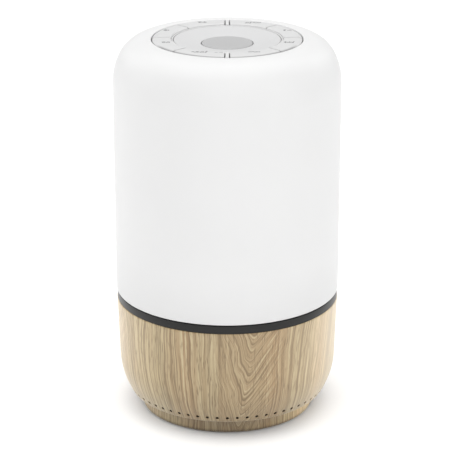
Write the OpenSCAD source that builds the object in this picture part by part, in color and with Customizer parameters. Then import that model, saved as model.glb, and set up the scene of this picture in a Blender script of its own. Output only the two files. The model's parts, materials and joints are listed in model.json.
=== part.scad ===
// Table-top smart speaker: a translucent light dome on a wood-print base,
// a ring of eight keys round a dished centre on top, and a loudspeaker that
// fires down and out through a row of small holes low around the base.
// Millimetres, +Z up, front at -Y. The origin is the middle of the underside.

/* [Light dome] */
// Outside diameter of the light dome
dome_d = 110; // [109.6:0.1:111]
// Wall thickness of the light dome
dome_wall = 2.4; // [2.2:0.1:2.6]
// Height of the key tops above the table
total_h = 188.2; // [180:0.1:200]
// Radius of the large bend of the shoulder
shoulder_r = 29.7; // [29.5:0.1:30]
// Radius of the small bend beside the key panel
brow_r = 14.2; // [14:0.1:14.4]
// Angle where the large bend runs into the small one
bend_angle = 27.4; // [27:0.1:28]

/* [Wood-print base] */
// Height of the base's rim above the table
base_h = 57.6; // [57:0.1:60]
// Outside diameter at the rim
base_top_d = 109.5; // [109.3:0.1:109.7]
// Outside diameter where the straight side turns into the bowl
base_waist_d = 107.5; // [107.4:0.1:107.7]
// Radius of the bowl's curve
bowl_r = 37.4; // [37.2:0.1:37.6]
// Diameter of the foot under the bowl
plinth_d = 85.6; // [85.2:0.1:86.2]
// Number of sound holes around the base
sound_holes = 64; // [40:1:72]
// Diameter of one sound hole
sound_hole_d = 1.6; // [1:0.1:1.8]

/* [Trim band] */
// Visible height of the dark band between the base and the dome
band_h = 4; // [3.6:0.1:5]
// Height of the shadow gap above the band
shadow_gap = 0.6; // [0.4:0.1:0.8]

/* [Key panel] */
// Diameter of the opening in the dome that holds the keys
panel_d = 72.6; // [72.4:0.1:73]
// Radial width of a key
key_w = 9.2; // [9:0.1:9.4]
// Gap between two neighbouring keys
key_seam = 0.5; // [0.4:0.1:0.7]
// Width of the rib between the keys at the front and at the back
rib_w = 1.7; // [1.4:0.1:2]
// Gap on each side of that rib
rib_gap = 0.55; // [0.4:0.05:0.7]
// Diameter of the centre button
button_d = 24.4; // [24:0.1:25]
// How far a key or the centre button travels
key_travel = 0.8; // [0.4:0.1:0.8]

/* [Loudspeaker] */
// Diameter of the loudspeaker's frame
driver_d = 57; // [56.8:0.1:57.2]
// Diameter of the paper cone
cone_d = 40.8; // [40.4:0.1:41]

/* [Hidden] */
$fn = 96;
KEYS = 8;

// Directions of repeated features, in degrees from +X
DIAGONALS = [45, 135, 225, 315];
AXES = [0, 90, 180, 270];
BOARD_POSTS = [22.5, 112.5, 202.5, 292.5];
KEY_ANGLES = [for (i = [0:KEYS - 1]) (i + 0.5) * 360 / KEYS];

// Heights of the foot and the base
pad_h = 2.2;
pad_r = 5.5;
cover_post_at = 31;
plinth_z = 0.8;
bowl_z = 8.7;
waist_z = 27.5;
cover_z = 1.2;
cover_t = 2.4;
ledge_z = cover_z + cover_t;
rim_wall = 2.4;
plinth_r = plinth_d / 2;
base_top_r = base_top_d / 2;
base_waist_r = base_waist_d / 2;
side_lean = atan((base_top_r - base_waist_r) / (base_h - waist_z));
bowl_centre = [base_waist_r - bowl_r * cos(side_lean), waist_z + bowl_r * sin(side_lean)];
bowl_end = asin((bowl_centre[1] - bowl_z) / bowl_r);
bowl_inner_r = bowl_r - rim_wall;
bowl_inner_end = asin((bowl_centre[1] - bowl_z - rim_wall) / bowl_inner_r);
floor_r = plinth_r - 1.8;
hole_angle = 27.5;

// Baffle and loudspeaker, from the baffle up
baffle_z = 15;
baffle_t = 2.4;
baffle_r = 48.2;
deck_face = baffle_z + baffle_t;
gasket_t = 0.5;
driver_r = driver_d / 2;
driver_z = deck_face + gasket_t;
flange_t = 1.2;
ear_at = driver_r + 1;
ear_r = 4.5;
basket_h = 10.3;
plate_z = driver_z + basket_h;
magnet_z = plate_z + 2.5;
yoke_z = magnet_z + 7;
yoke_t = 2.5;
cone_r = cone_d / 2;
cone_h = 7.1;
cone_z = driver_z + 0.3;
paper_t = 0.6;
coil_r = 7.2;
coil_t = 0.6;
roll_r = 1.9;

// Chassis, light board and reflector
deck_t = 2.8;
deck_z = base_h - deck_t;
deck_r = 51.9;
leg_at = 40;
leg_r = 4;
main_z = deck_z - 6.6;
board_t = 1.6;
board_r = 34.5;
board_post_at = 29.5;
led_z = base_h + 1.6;
led_at = 34;
led_size = 5;
light_post_at = 40;
speaker_plug_at = 30.5;
usb_plug_y = 38;
dome_z = base_h + band_h + shadow_gap;
trim_r = base_top_r - 0.2;
reflector_t = 1.2;

// Dome and key panel
dome_r = dome_d / 2;
rim_z = total_h - 0.3;
brow_centre = [dome_r - shoulder_r + (shoulder_r - brow_r) * cos(bend_angle), rim_z - brow_r];
shoulder_centre = [dome_r - shoulder_r, brow_centre[1] - (shoulder_r - brow_r) * sin(bend_angle)];
panel_r = panel_d / 2;
frame_t = 1.6;
lip_z = total_h - 5.3;
lip_r = 41;
lip_angle = acos((lip_r - brow_centre[0]) / (brow_r - dome_wall));
frame_z = lip_z - frame_t;
frame_r = 40.5;
key_out_r = panel_r - 0.35;
key_in_r = key_out_r - key_w;
key_z = total_h - 3.9;
key_at = (key_out_r + key_in_r) / 2;
disc_out_r = key_in_r - 1.1;
disc_t = 1.4;
disc_outer_z = total_h - 0.8;
disc_inner_z = total_h - 2.8;
button_r = button_d / 2;
disc_in_r = button_r + 0.35;
button_top = total_h - 2.3;
button_z = total_h - 5.9;
panel_screw_at = 38.5;
column_r = 11;
column_bore = 9.4;
column_flange_r = 15.2;
column_screw_at = 13.1;
housing_z = total_h - 16.4;
housing_t = 1.5;
housing_r = 36.4;
housing_wall = 1.4;
control_z = total_h - 11.5;
control_post_at = 20;
switch_z = control_z + board_t;
switch_h = 2.6;
plunger_r = 1.6;
plunger_h = 1.9;
stem_z = switch_z + switch_h + key_travel;

// Power inlet at the back
usb_z = deck_face + 1;
usb_board_t = 1.2;
socket_w = 8.94;
socket_h = 3.3;
socket_depth = 7.3;
socket_front = 50;
inlet_z = usb_z + usb_board_t + socket_h / 2;
bezel_w = 15;
bezel_h = 9;
bezel_back = socket_front + 0.2;
bezel_front = base_waist_r + 0.1;

// Small fasteners: an M3 and an M2 self-tapping screw
m3 = [1.45, 2.7, 2];
m2 = [0.95, 1.8, 1.3];
m2_length = 5;
m2_pilot = 1;
m2_clear = 1.15;

// ---- shared shapes ----

// Points along an arc; first = 1 leaves out a point that the last stretch already has
function arc_points(centre, radius, from, to, steps = 8, first = 0) =
    [for (i = [first:steps])
        let (a = from + (to - from) * i / steps)
        centre + radius * [cos(a), sin(a)]];

module disc(r, z0, z1) {
    translate([0, 0, z0]) cylinder(r = r, h = z1 - z0);
}

module ring(r_out, r_in, z0, z1) {
    difference() {
        disc(r_out, z0, z1);
        disc(r_in, z0 - 1, z1 + 1);
    }
}

module around(angles, radius) {
    for (a = angles) rotate([0, 0, a]) translate([radius, 0, 0]) children();
}

// A box centred in x and y that stands at height z
module block(w, d, h, z, x = 0, y = 0) {
    translate([x - w / 2, y - d / 2, z]) cube([w, d, h]);
}

module rounded_rectangle(w, h, r) {
    square([w - 2 * r, h], center = true);
    square([w, h - 2 * r], center = true);
    for (x = [-1, 1], y = [-1, 1])
        translate([x * (w / 2 - r), y * (h / 2 - r)]) circle(r = r);
}

// A rounded rectangle pushed along +Y from y0 to y1, centred on the inlet
module inlet_block(w, h, r, y0, y1) {
    translate([0, y1, inlet_z]) rotate([90, 0, 0])
        linear_extrude(y1 - y0) rounded_rectangle(w, h, r);
}

// A screw whose head sits on height z; up = 1 drives it upwards, -1 downwards
module screw(kind, length, z, up = 1) {
    translate([0, 0, z]) mirror([0, 0, up > 0 ? 0 : 1]) {
        cylinder(r = kind[0], h = length);
        difference() {
            translate([0, 0, -kind[2]]) cylinder(r = kind[1], h = kind[2]);
            translate([0, 0, -kind[2] - 1]) cylinder(r = kind[0] * 0.6, h = 1.8);
        }
    }
}

module wire(points, r) {
    for (i = [0:len(points) - 2]) {
        run = points[i + 1] - points[i];
        length = norm(run);
        translate(points[i])
            rotate([0, acos(run[2] / length), atan2(run[1], run[0])])
                cylinder(r = r, h = length, $fn = 24);
    }
    for (i = [1:1:len(points) - 2])
        translate(points[i]) sphere(r = r, $fn = 24);
}

// ---- outer casing ----

module diffuser_shell() {
    color("#f3f3f1") difference() {
        rotate_extrude() polygon(concat(
            [[dome_r - dome_wall, dome_z], [dome_r, dome_z]],
            arc_points(shoulder_centre, shoulder_r, 0, bend_angle),
            arc_points(brow_centre, brow_r, bend_angle, 90, 8, 1),
            [[panel_r, rim_z], [panel_r, lip_z], [lip_r, lip_z]],
            arc_points(brow_centre, brow_r - dome_wall, lip_angle, bend_angle),
            arc_points(shoulder_centre, shoulder_r - dome_wall, bend_angle, 0, 8, 1)
        ));
        around(DIAGONALS, panel_screw_at) disc(m2_pilot, lip_z - 1, lip_z + 2.8);
    }
}

module trim_ring() {
    lip_out = dome_r - dome_wall - 0.4;
    lip_in = lip_out - 1.6;
    collar_z = dome_z - shadow_gap;
    color("#4b4c4d") rotate_extrude() polygon([
        [lip_in, base_h], [trim_r, base_h], [trim_r, collar_z],
        [trim_r - 1, collar_z], [trim_r - 1, dome_z], [lip_out, dome_z],
        [lip_out, dome_z + 5.4], [lip_in, dome_z + 5.4], [lip_in, dome_z],
        [lip_in - 1.6, dome_z], [lip_in - 1.6, dome_z - 2], [lip_in, base_h + 1.6]
    ]);
}

module base_shell() {
    color("#c4ab83") difference() {
        rotate_extrude() polygon(concat(
            [[base_top_r - rim_wall, base_h], [base_top_r, base_h]],
            arc_points(bowl_centre, bowl_r, -side_lean, -bowl_end, 16),
            [[floor_r, bowl_z], [floor_r, bowl_z + rim_wall]],
            arc_points(bowl_centre, bowl_inner_r, -bowl_inner_end, -side_lean, 16)
        ));
        for (i = [0:sound_holes - 1])
            rotate([0, 0, 360 * i / sound_holes - 90])
                translate([bowl_centre[0], 0, bowl_centre[1]])
                    rotate([0, 90 + hole_angle, 0])
                        translate([0, 0, bowl_inner_r - 2])
                            cylinder(r = sound_hole_d / 2, h = rim_wall + 4, $fn = 24);
        inlet_block(bezel_w + 0.2, bezel_h + 0.2, 3.1, socket_front - 6, base_top_r + 2);
    }
}

// The foot: a lip on top locates it in the base's floor, a ledge inside holds the cover
module plinth_ring() {
    cover_r = plinth_r - 4.1;
    ledge_t = 1.6;
    edge = 0.5;
    lip_out = floor_r - 0.2;
    lip_in = lip_out - 1.6;
    lip_top = bowl_z + 2.9;
    color("#a98f68") rotate_extrude() polygon([
        [cover_r, plinth_z], [plinth_r - edge, plinth_z], [plinth_r, plinth_z + edge],
        [plinth_r, bowl_z], [lip_out, bowl_z], [lip_out, lip_top], [lip_in, lip_top],
        [lip_in, ledge_z + ledge_t], [cover_r - 2, ledge_z + ledge_t],
        [cover_r - 2, ledge_z], [cover_r, ledge_z]
    ]);
}

module bottom_cover() {
    post_top = baffle_z - 5.4;
    color("#3a3a3c") difference() {
        union() {
            disc(plinth_r - 4.3, cover_z, ledge_z);
            around(DIAGONALS, cover_post_at) disc(4.5, cover_z, post_top);
        }
        around(DIAGONALS, cover_post_at) {
            disc(m3[0] + 0.2, 0, post_top + 1);
            disc(m3[1] + 0.3, 0, ledge_z + 1.8);
        }
        around(AXES, cover_post_at) disc(pad_r + 0.2, 0, pad_h);
    }
}

module rubber_feet() {
    color("#2b2b2b") around(AXES, cover_post_at) disc(pad_r, 0, pad_h);
}

module case_screws() {
    color("#8f9194") {
        around(DIAGONALS, cover_post_at) screw(m3, 8.6, ledge_z + 1.8);
        around(DIAGONALS, leg_at) screw(m3, 10, baffle_z);
    }
}

// ---- chassis and light ----

module speaker_baffle() {
    color("#4d4f52") difference() {
        union() {
            disc(baffle_r, baffle_z, deck_face);
            around(DIAGONALS, cover_post_at) disc(4.2, baffle_z - 5.4, baffle_z);
            for (x = [-6, 6]) block(3, 3, 1, deck_face, x, 44);
        }
        disc(driver_r - 3.3, baffle_z - 1, deck_face + 1);
        around(DIAGONALS, cover_post_at) disc(m3[0] + 0.1, baffle_z - 6, baffle_z - 0.5);
        around(DIAGONALS, leg_at) disc(m3[0] + 0.2, baffle_z - 1, deck_face + 1);
        around(AXES, ear_at) disc(m2_pilot, baffle_z - 1, deck_face + 1);
    }
}

module chassis_deck() {
    color("#5a5c60") difference() {
        union() {
            disc(deck_r, deck_z, base_h);
            around(DIAGONALS, leg_at) disc(leg_r, deck_face, deck_z);
            around(BOARD_POSTS, board_post_at) disc(2.5, main_z + board_t, deck_z);
            around(AXES, light_post_at) disc(2.5, base_h, led_z);
        }
        disc(column_bore, deck_z - 1, base_h + 1);
        around(DIAGONALS, leg_at) disc(m3[0] + 0.1, deck_face - 1, deck_face + 9);
        around(BOARD_POSTS, board_post_at) disc(m2_pilot, main_z, deck_z - 1);
        around(AXES, light_post_at) disc(m2_pilot, deck_z - 1, led_z + 1);
        around(DIAGONALS, column_screw_at) disc(m2_pilot, deck_z - 1, base_h + 1);
        around([0], 20) disc(2, deck_z - 1, base_h + 1);
    }
}

module led_board() {
    color("#e9e9e4") difference() {
        ring(46, 16, led_z, led_z + board_t);
        around(AXES, light_post_at) disc(m2_clear, led_z - 1, led_z + board_t + 1);
    }
}

module leds() {
    color("#f7e9a8") around([for (i = [0:11]) 30 * i + 15], led_at)
        block(led_size, led_size, 1.6, led_z + board_t);
}

module reflector_plate() {
    window = led_size + 1.5;
    color("#fafafa") difference() {
        disc(50, dome_z, dome_z + reflector_t);
        disc(column_r + 0.4, dome_z - 1, dome_z + reflector_t + 1);
        around([for (i = [0:11]) 30 * i + 15], led_at)
            block(window, window, reflector_t + 2, dome_z - 1);
    }
}

module light_column() {
    foot_top = base_h + 2.6;
    head_z = housing_z - 1.5;
    color("#f2f2f0") difference() {
        union() {
            disc(column_flange_r, base_h, foot_top);
            disc(column_r, foot_top, head_z);
            disc(column_flange_r, head_z, housing_z);
        }
        disc(column_bore, base_h - 1, housing_z + 1);
        around(DIAGONALS, column_screw_at) {
            disc(m2_clear, base_h - 1, foot_top + 1);
            disc(m2_clear, head_z - 1, housing_z + 1);
        }
    }
}

module ribbon_cable() {
    color("#d8d8d4") block(10, 0.8, control_z - 2 - (main_z + board_t + 2.4), main_z + board_t + 2.4);
}

// ---- key panel ----

module panel_housing() {
    flange_z = frame_z - 1.6;
    color("#ededeb") difference() {
        union() {
            disc(housing_r, housing_z, frame_z);
            disc(frame_r, flange_z, frame_z);
        }
        disc(housing_r - housing_wall, housing_z + housing_t, frame_z + 1);
        disc(column_bore, housing_z - 1, housing_z + housing_t + 1);
        around(DIAGONALS, column_screw_at) disc(m2_pilot, housing_z - 1, housing_z + 3);
        around(DIAGONALS, panel_screw_at) disc(m2_clear, flange_z - 1, frame_z + 1);
    }
}

// The frame carries the two ribs and the thin rail that the keys slide along
module panel_frame() {
    rail_out = key_in_r - 0.15;
    rail_t = 0.65;
    rail_z = total_h - 0.8;
    rib_start = rail_out - rail_t / 2;
    rib_end = panel_r - 0.4;
    color("#f5f5f4") difference() {
        union() {
            disc(frame_r, frame_z, lip_z);
            ring(rail_out, rail_out - rail_t, lip_z - 0.5, rail_z);
            around([90, 270], rib_start) translate([0, -rib_w / 2, lip_z - 0.5])
                cube([rib_end - rib_start, rib_w, rim_z - lip_z + 0.4]);
            around(DIAGONALS, control_post_at) disc(2.5, switch_z, frame_z);
        }
        disc(button_r + 0.5, frame_z - 1, lip_z + 1);
        around(KEY_ANGLES, key_at) disc(plunger_r + 0.8, frame_z - 1, lip_z + 1);
        around(DIAGONALS, control_post_at) disc(m2_pilot, switch_z - 1, frame_z + 0.6);
        around(DIAGONALS, panel_screw_at) disc(m2_clear, frame_z - 1, lip_z + 1);
    }
}

module panel_disc() {
    color("#ececeb") rotate_extrude() polygon([
        [disc_in_r, lip_z], [disc_in_r + disc_t, lip_z],
        [disc_in_r + disc_t, disc_inner_z - disc_t + 0.2],
        [disc_out_r - disc_t, disc_outer_z - disc_t], [disc_out_r - disc_t, lip_z],
        [disc_out_r, lip_z], [disc_out_r, disc_outer_z], [disc_in_r, disc_inner_z]
    ]);
}

module control_pcb() {
    color("#2f6b45") difference() {
        disc(board_r, control_z, switch_z);
        around(DIAGONALS, control_post_at) disc(m2_clear, control_z - 1, switch_z + 1);
    }
}

module switch_places() {
    around(KEY_ANGLES, key_at) children();
    children();
}

module switch_bodies() {
    color("#26272a") switch_places() difference() {
        block(6, 6, switch_h, switch_z);
        disc(plunger_r + 0.15, switch_z + 0.3, switch_z + switch_h + 1);
    }
}

module plunger() {
    color("#b8b2a6") disc(plunger_r, stem_z - plunger_h, stem_z);
}

// One key of the ring, with its rounded shoulders and the stem under it
module key(index) {
    inner_bend = 0.9;
    outer_bend = 1.6;
    step = 360 / KEYS;
    side_gaps = [for (side = [0, 1]) (index + side) % (KEYS / 2) == 2 ? rib_w / 2 + rib_gap : key_seam / 2];
    color("#f1f1f0") {
        difference() {
            rotate([0, 0, step * index]) rotate_extrude(angle = step) polygon(concat(
                [[key_in_r, key_z], [key_out_r, key_z]],
                arc_points([key_out_r - outer_bend, total_h - outer_bend], outer_bend, 0, 90, 6),
                arc_points([key_in_r + inner_bend, total_h - inner_bend], inner_bend, 90, 180, 6)
            ));
            for (side = [0, 1])
                rotate([0, 0, step * (index + side)])
                    block(2 * panel_r, 2 * side_gaps[side], total_h, key_z - 1, panel_r);
        }
        rotate([0, 0, KEY_ANGLES[index]]) translate([key_at, 0, 0])
            disc(plunger_r + 0.2, stem_z, key_z + 1);
    }
}

module centre_button() {
    color("#d6d6d6") {
        rotate_extrude() polygon(concat(
            [[0, button_z], [button_r, button_z]],
            arc_points([button_r - 0.6, button_top - 0.6], 0.6, 0, 90, 6),
            [[0, button_top]]
        ));
        disc(plunger_r + 0.2, stem_z, button_z + 1);
    }
}

// ---- main electronics ----

module main_pcb() {
    color("#2f6b45") difference() {
        disc(board_r, main_z, main_z + board_t);
        around(BOARD_POSTS, board_post_at) disc(m2_clear, main_z - 1, main_z + board_t + 1);
    }
}

module wifi_module() {
    color("#b9bcc0") block(18, 12, 2.4, main_z + board_t, -8, 16);
}

module chips() {
    color("#232427") {
        block(10, 10, 1.2, main_z - 1.2, 0, -14);
        block(6, 8, 1.2, main_z - 1.2, -18, -6);
        block(8, 8, 1.2, main_z + board_t, 8, -18);
        block(5, 5, 1, control_z - 1, 0, -16);
    }
}

module capacitors() {
    color("#3b4a6b") around([150, 165, 180, 195], 27) disc(2.6, main_z - 4.2, main_z);
}

module connectors() {
    color("#f0ead8") {
        block(13, 4, 2.4, main_z + board_t);
        block(13, 4, 2, control_z - 2);
        rotate([0, 0, 45]) block(4, 7, 2.4, main_z - 2.4, speaker_plug_at);
        block(9, 4, 2.4, main_z - 2.4, 0, 30);
        block(9, 3, 2.4, usb_z + usb_board_t, 0, usb_plug_y);
    }
}

module wiring() {
    r = 0.6;
    color("#c23b31") {
        rotate([0, 0, 45]) for (y = [-1.5, 1.5])
            wire([[speaker_plug_at, y, driver_z + flange_t], [speaker_plug_at, y, main_z - 2.4]], r);
        for (x = [-3, -1, 1, 3])
            wire([[x, usb_plug_y, usb_z + usb_board_t + 2.4], [x, usb_plug_y, main_z - 16],
                  [x, 30, main_z - 8], [x, 30, main_z - 2.4]], r);
        for (y = [-0.8, 0.8])
            wire([[20, y, main_z + board_t], [20, y, led_z]], r);
    }
}

// Identical M2 screws that hold the key panel, the boards and the column
module board_screws() {
    color("#8f9194") {
        around(DIAGONALS, panel_screw_at) screw(m2, m2_length, frame_z - 1.6);
        around(DIAGONALS, control_post_at) screw(m2, m2_length, control_z);
        around(BOARD_POSTS, board_post_at) screw(m2, m2_length, main_z);
        around(AXES, light_post_at) screw(m2, m2_length, led_z + board_t, -1);
        around(DIAGONALS, column_screw_at) screw(m2, m2_length, base_h + 2.6, -1);
        around(DIAGONALS, column_screw_at) screw(m2, m2_length, housing_z - 1.5);
    }
}

// ---- power inlet ----

module usb_board() {
    color("#2f6b45") block(16, 12.5, usb_board_t, usb_z, 0, 42.25);
}

module usb_socket() {
    wall = 0.3;
    color("#c9cbce") {
        difference() {
            inlet_block(socket_w, socket_h, 1.6, socket_front - socket_depth, socket_front);
            inlet_block(socket_w - 2 * wall, socket_h - 2 * wall, 1.3, socket_front - 6.2, socket_front + 1);
        }
        translate([-3.35, socket_front - 6.3, inlet_z - 0.35]) cube([6.7, 5.2, 0.7]);
    }
}

module inlet_bezel() {
    color("#3a3a3c") difference() {
        inlet_block(bezel_w, bezel_h, 3, bezel_back, bezel_front);
        inlet_block(bezel_w - 2.6, bezel_h - 2, 2, bezel_back + 1, bezel_front + 1);
        inlet_block(socket_w + 0.4, socket_h + 0.4, 1.8, bezel_back - 1, bezel_back + 2);
    }
}

// ---- loudspeaker ----

module speaker_basket() {
    shoulder = driver_r - 1;
    top_r = 18;
    wall = 1;
    top_z = plate_z - flange_t;
    foot_z = driver_z + flange_t;
    color("#34363a") difference() {
        union() {
            rotate_extrude() polygon([
                [driver_r - 5, driver_z], [driver_r, driver_z], [driver_r, foot_z],
                [shoulder, foot_z], [top_r, top_z], [top_r, plate_z], [9, plate_z],
                [9, top_z], [top_r - wall, top_z], [shoulder - wall, foot_z],
                [driver_r - 5, foot_z]
            ]);
            around(AXES, ear_at) disc(ear_r, driver_z, foot_z);
        }
        around(AXES, ear_at) disc(m2_clear, driver_z - 1, foot_z + 1);
        disc(driver_r - 5, driver_z - 1, foot_z + 0.1);
        around(DIAGONALS, (shoulder + top_r) / 2) block(14, 12, 4.4, foot_z + 1.4);
    }
}

module speaker_gasket() {
    color("#1f1f1f") ring(driver_r, driver_r - 2, deck_face, driver_z);
}

module speaker_front_plate() {
    color("#8d9094") ring(17, coil_r + 0.4, plate_z, magnet_z);
}

module speaker_magnet() {
    color("#3c3d3f") ring(20, 10, magnet_z, yoke_z);
}

module speaker_yoke() {
    color("#8d9094") {
        disc(18.5, yoke_z, yoke_z + yoke_t);
        disc(coil_r - coil_t - 0.3, plate_z + 0.5, yoke_z);
    }
}

module speaker_terminal() {
    color("#b08d57") rotate([0, 0, 45])
        block(3.4, 8, flange_t, driver_z, driver_r + 1.9);
}

module speaker_screws() {
    color("#8f9194") around(AXES, ear_at) screw(m2, 3.5, driver_z + flange_t, -1);
}

module speaker_surround() {
    edge_r = driver_r - 2.1;
    inner_r = cone_r - 0.8;
    roll_at = cone_r + 0.2 + roll_r;
    skin = 0.5;
    color("#1f1f1f") rotate_extrude() difference() {
        union() {
            translate([inner_r, deck_face]) square([edge_r - inner_r, skin]);
            translate([roll_at, deck_face]) circle(r = roll_r);
        }
        translate([roll_at, deck_face + skin]) circle(r = roll_r - skin);
        translate([roll_at - roll_r, deck_face + skin]) square([2 * roll_r, 3]);
    }
}

module speaker_spider() {
    color("#b57d3c") ring(16.8, coil_r + 0.2, plate_z - flange_t - 1, plate_z - flange_t);
}

module speaker_cone() {
    color("#2a2b2d") rotate_extrude() polygon([
        [coil_r + 0.1, cone_z + cone_h - paper_t], [cone_r, cone_z],
        [cone_r, cone_z + paper_t], [coil_r + 0.1, cone_z + cone_h]
    ]);
}

module dust_cap() {
    cap_r = 14.7;
    edge_r = 8.4;
    skin = 0.4;
    edge_z = cone_z + 5.7;
    centre_z = edge_z + sqrt(cap_r * cap_r - edge_r * edge_r);
    color("#1c1c1e") rotate_extrude() intersection() {
        difference() {
            translate([0, centre_z]) circle(r = cap_r);
            translate([0, centre_z]) circle(r = cap_r - skin);
        }
        translate([0, centre_z - cap_r - 1]) square([edge_r, edge_z - centre_z + cap_r + 1]);
    }
}

module voice_coil() {
    color("#b5622c") ring(coil_r, coil_r - coil_t, cone_z + 6.4, magnet_z + 0.8);
}

// ---- drawing ----

diffuser_shell();
trim_ring();
base_shell();
plinth_ring();
bottom_cover();
rubber_feet();
case_screws();
speaker_baffle();
chassis_deck();
led_board();
leds();
reflector_plate();
light_column();
panel_housing();
panel_frame();
panel_disc();
control_pcb();
switch_bodies();
board_screws();
main_pcb();
wifi_module();
chips();
capacitors();
connectors();
usb_board();
usb_socket();
inlet_bezel();
speaker_basket();
speaker_gasket();
speaker_front_plate();
speaker_magnet();
speaker_yoke();
speaker_terminal();
speaker_screws();
speaker_surround();
speaker_spider();
ribbon_cable();
wiring();
speaker_cone();
dust_cap();
voice_coil();
for (i = [1:KEYS]) key(i - 1);
centre_button();
for (i = [1:KEYS]) rotate([0, 0, KEY_ANGLES[i - 1]]) translate([key_at, 0, 0]) plunger();
plunger();
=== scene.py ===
import json
import math

import bmesh
import bpy
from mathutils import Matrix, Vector


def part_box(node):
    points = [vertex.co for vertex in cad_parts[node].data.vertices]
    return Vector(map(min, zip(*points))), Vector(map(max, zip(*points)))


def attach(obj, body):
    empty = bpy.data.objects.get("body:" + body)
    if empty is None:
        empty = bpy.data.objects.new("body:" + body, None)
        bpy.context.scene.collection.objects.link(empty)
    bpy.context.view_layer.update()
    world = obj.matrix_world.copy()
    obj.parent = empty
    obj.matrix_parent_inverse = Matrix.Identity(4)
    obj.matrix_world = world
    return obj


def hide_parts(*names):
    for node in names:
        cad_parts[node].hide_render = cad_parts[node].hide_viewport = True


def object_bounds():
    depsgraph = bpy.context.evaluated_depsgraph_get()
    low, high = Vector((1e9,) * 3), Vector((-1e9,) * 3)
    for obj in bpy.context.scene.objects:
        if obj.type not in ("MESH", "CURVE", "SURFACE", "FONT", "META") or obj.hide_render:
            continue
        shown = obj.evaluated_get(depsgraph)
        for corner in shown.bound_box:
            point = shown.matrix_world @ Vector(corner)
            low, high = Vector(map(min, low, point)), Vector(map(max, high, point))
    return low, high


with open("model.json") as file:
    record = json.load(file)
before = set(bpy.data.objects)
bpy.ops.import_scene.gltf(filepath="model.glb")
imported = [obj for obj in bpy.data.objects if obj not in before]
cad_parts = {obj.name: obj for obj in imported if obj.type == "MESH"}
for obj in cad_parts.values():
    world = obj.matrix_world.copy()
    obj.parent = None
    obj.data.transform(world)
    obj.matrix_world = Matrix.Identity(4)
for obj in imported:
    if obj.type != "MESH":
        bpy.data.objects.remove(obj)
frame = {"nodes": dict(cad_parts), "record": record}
CAD_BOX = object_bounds()
NODES = frame["nodes"]
MM = 0.001
WALL = 2.4 * MM  # of the dome and the base
FINE_SEGMENTS = 300  # of the pieces that make the outline
SEGMENTS = 240
DIAGONALS = (45, 135, 225, 315)
AXES = (0, 90, 180, 270)
POST_AT = 31 * MM  # from the axis: cover posts on the diagonals, rubber pads on the axes


# ---- small geometry helpers: profiles are lists of (radius, height) in metres ----

def arc(centre, radius, start, end, steps=12):
    """Points on an arc from angle start to angle end, in degrees, both ends included."""
    points = []
    for i in range(steps + 1):
        a = math.radians(start + (end - start) * i / steps)
        points.append((centre[0] + radius * math.cos(a), centre[1] + radius * math.sin(a)))
    return points


def rounded(corners, steps=4):
    """A closed outline through (x, y, fillet radius) corners, each rounded by its own radius."""
    points = []
    count = len(corners)
    for i in range(count):
        x, y, radius = corners[i]
        here = Vector((x, y))
        before = Vector(corners[i - 1][:2]) - here
        after = Vector(corners[(i + 1) % count][:2]) - here
        if radius <= 0:
            points.append((x, y))
            continue
        half = before.angle(after) / 2
        reach = min(radius / math.tan(half), 0.49 * before.length, 0.49 * after.length)
        first = here + before.normalized() * reach
        last = here + after.normalized() * reach
        for step in range(steps + 1):
            t = step / steps
            point = first * (1 - t) ** 2 + here * 2 * t * (1 - t) + last * t ** 2
            points.append((point.x, point.y))
    return points


def split_long(points, longest):
    """The closed outline again, with its long sides cut into even steps."""
    result = []
    for i, (x, y) in enumerate(points):
        nx, ny = points[(i + 1) % len(points)]
        pieces = max(1, math.ceil(math.hypot(nx - x, ny - y) / longest))
        for k in range(pieces):
            result.append((x + (nx - x) * k / pieces, y + (ny - y) * k / pieces))
    return result


def finish_piece(name, mesh, material, body, replaces=(), crease=32):
    """Turns a bmesh into a smooth-shaded object that rides on a body."""
    bmesh.ops.remove_doubles(mesh, verts=mesh.verts, dist=1e-7)
    bmesh.ops.dissolve_degenerate(mesh, edges=mesh.edges, dist=1e-8)
    bmesh.ops.recalc_face_normals(mesh, faces=mesh.faces)
    data = bpy.data.meshes.new(name)
    mesh.to_mesh(data)
    mesh.free()
    data.polygons.foreach_set("use_smooth", [True] * len(data.polygons))
    data.set_sharp_from_angle(angle=math.radians(crease))
    piece = bpy.data.objects.new(name, data)
    bpy.context.scene.collection.objects.link(piece)
    data.materials.append(material)
    if body:
        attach(piece, body)
    if replaces:
        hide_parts(*replaces)
    return piece


def revolve(outline, segments=SEGMENTS, centre=(0.0, 0.0), mesh=None):
    """Turns a closed outline about a vertical axis, in a new bmesh or in the given one."""
    mesh = mesh or bmesh.new()
    rings = []
    for k in range(segments):
        a = 2 * math.pi * k / segments
        rings.append([mesh.verts.new((centre[0] + r * math.cos(a), centre[1] + r * math.sin(a), z))
                      for r, z in outline])
    for k in range(segments):
        here, there = rings[k], rings[(k + 1) % segments]
        for i in range(len(outline)):
            j = (i + 1) % len(outline)
            if max(outline[i][0], outline[j][0]) < 1e-7:
                continue
            mesh.faces.new((here[i], there[i], there[j], here[j]))
    return mesh


def bridge(mesh, rows):
    """Joins closed rows of vertices, each to the next, with faces."""
    for a, b in zip(rows, rows[1:]):
        for k in range(len(a)):
            n = (k + 1) % len(a)
            mesh.faces.new((a[k], a[n], b[n], b[k]))


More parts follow.
